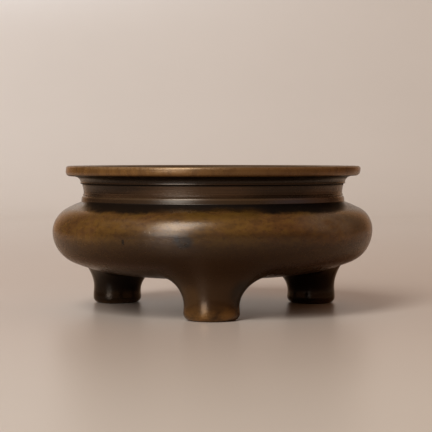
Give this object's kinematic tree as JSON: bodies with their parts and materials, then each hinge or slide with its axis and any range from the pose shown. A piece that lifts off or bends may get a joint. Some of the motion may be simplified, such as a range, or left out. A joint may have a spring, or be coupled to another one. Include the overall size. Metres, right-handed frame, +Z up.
{
  "type": "tripod incense burner",
  "caption": "Squat round bronze bowl with a banded neck and turned-out lip, standing on short waisted feet, for burning incense on a bed of ash.",
  "frame": {"origin": "on the ground that the soles stand on, under the middle of the bowl", "axes": "+Z up along the bowl's axis, -Y towards the front foot, +X to the right seen from the front"},
  "size_m": [0.16, 0.16, 0.0713],
  "materials": {
    "bowl_bronze": "dark brown patina, satin, rubbed to a warm brown at the lip",
    "foot_bronze": "brown patina, satin, warmer at the soles",
    "core_clay": "matt fired clay"
  },
  "bodies": {
    "root": {"bowl": "bowl_bronze", "foot_front": "foot_bronze", "foot_rear_left": "foot_bronze", "foot_rear_right": "foot_bronze", "foot_core_front": "core_clay", "foot_core_rear_left": "core_clay", "foot_core_rear_right": "core_clay"}
  },
  "joints": []
}
